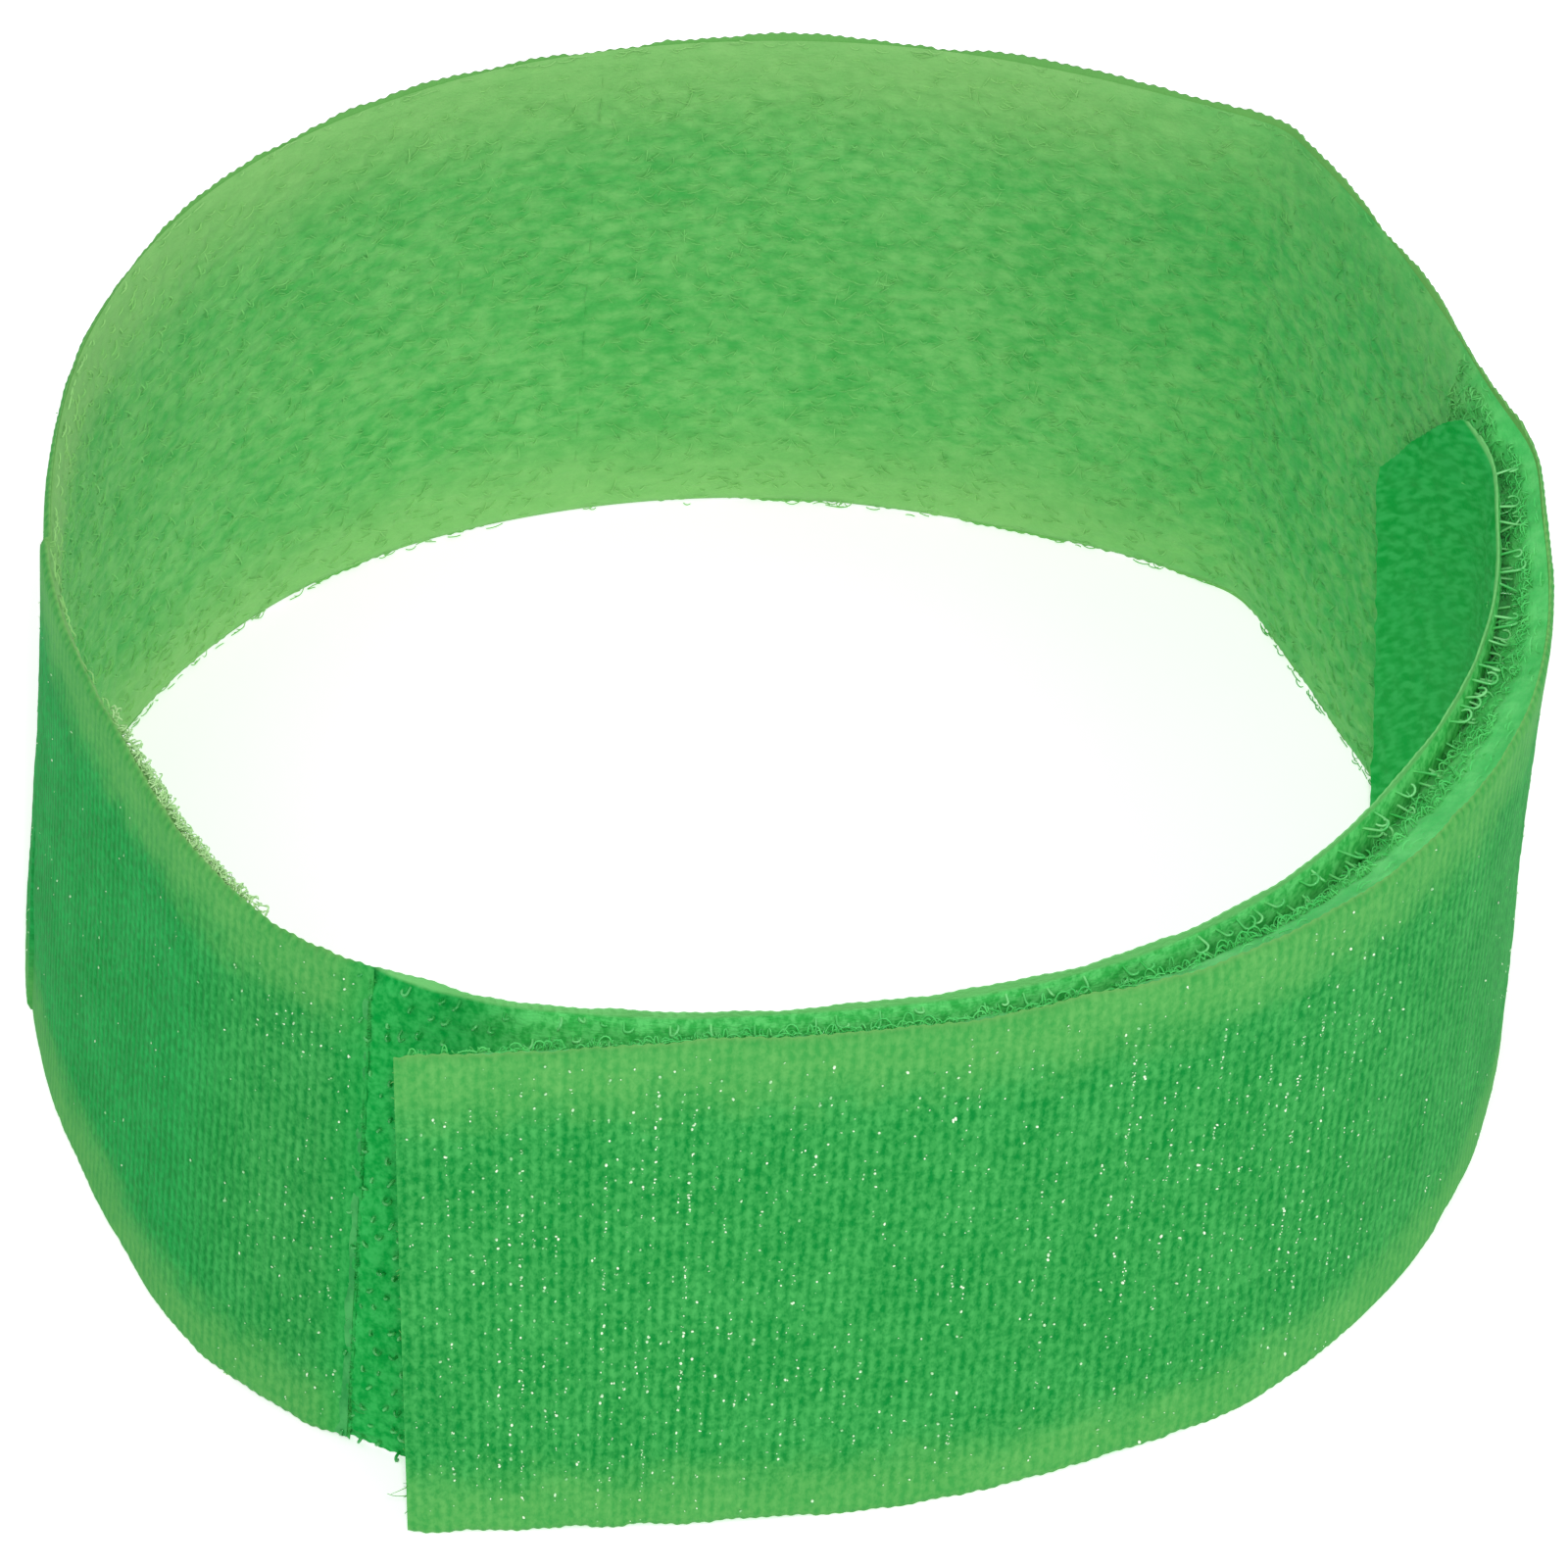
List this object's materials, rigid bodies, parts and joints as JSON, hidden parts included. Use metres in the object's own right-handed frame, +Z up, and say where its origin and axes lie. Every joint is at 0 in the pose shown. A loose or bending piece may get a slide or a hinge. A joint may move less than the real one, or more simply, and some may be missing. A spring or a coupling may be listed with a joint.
{
  "type": "hook-and-loop wristband",
  "caption": "Soft wrap-around wristband of hook-and-loop tape, closed into an upright ring, with an overlapping tail that peels open.",
  "frame": {"origin": "centre of the ring on the surface that its lower edge stands on", "axes": "+Z up along the ring's axis, -Y towards the overlapping tail, +X towards the tail's root"},
  "size_m": [0.0634, 0.0656, 0.025],
  "materials": {
    "loop_tape_webbing": "coated ribbed webbing with small bright specks",
    "loop_pile": "brushed loop pile",
    "hook_tape_webbing": "plain woven ground",
    "hook_monofilament": "glossy monofilament hooks",
    "weld_film": "fused nylon film"
  },
  "bodies": {
    "back": {"back_webbing": "loop_tape_webbing", "back_pile": "loop_pile"},
    "hook_arm": {"left_webbing": "loop_tape_webbing", "left_pile": "loop_pile", "lap_weld": "weld_film", "hook_tape_webbing": "hook_tape_webbing", "hook_rows": "hook_monofilament"},
    "tail_root": {"tail_root_webbing": "loop_tape_webbing", "tail_root_pile": "loop_pile"},
    "tail_shoulder": {"tail_shoulder_webbing": "loop_tape_webbing", "tail_shoulder_pile": "loop_pile"},
    "tail_middle": {"tail_middle_webbing": "loop_tape_webbing", "tail_middle_pile": "loop_pile"},
    "tail_tip": {"tail_tip_webbing": "loop_tape_webbing", "tail_tip_pile": "loop_pile"}
  },
  "joints": [
    {"name": "tail_root_flex", "type": "hinge", "parent": "back", "child": "tail_root", "pos_m": [0.03002, 0.00715, 0.0125], "axis": [0, 0, 1], "range_deg": [0, 55]},
    {"name": "tail_shoulder_flex", "type": "hinge", "parent": "tail_root", "child": "tail_shoulder", "pos_m": [0.03067, -0.01158, 0.0125], "axis": [0, 0, 1], "range_deg": [0, 55]},
    {"name": "tail_middle_flex", "type": "hinge", "parent": "tail_shoulder", "child": "tail_middle", "pos_m": [0.01929, -0.02696, 0.0125], "axis": [0, 0, 1], "range_deg": [0, 55]},
    {"name": "tail_tip_flex", "type": "hinge", "parent": "tail_middle", "child": "tail_tip", "pos_m": [0.00389, -0.03197, 0.0125], "axis": [0, 0, 1], "range_deg": [0, 65]},
    {"name": "left_side_flex", "type": "hinge", "parent": "back", "child": "hook_arm", "pos_m": [-0.03034, -0.00726, 0.0125], "axis": [0, 0, -1], "range_deg": [0, 27.5]}
  ],
  "couplings": [
    {"joint": "left_side_flex", "follows": "tail_root_flex", "ratio": 0.5}
  ]
}
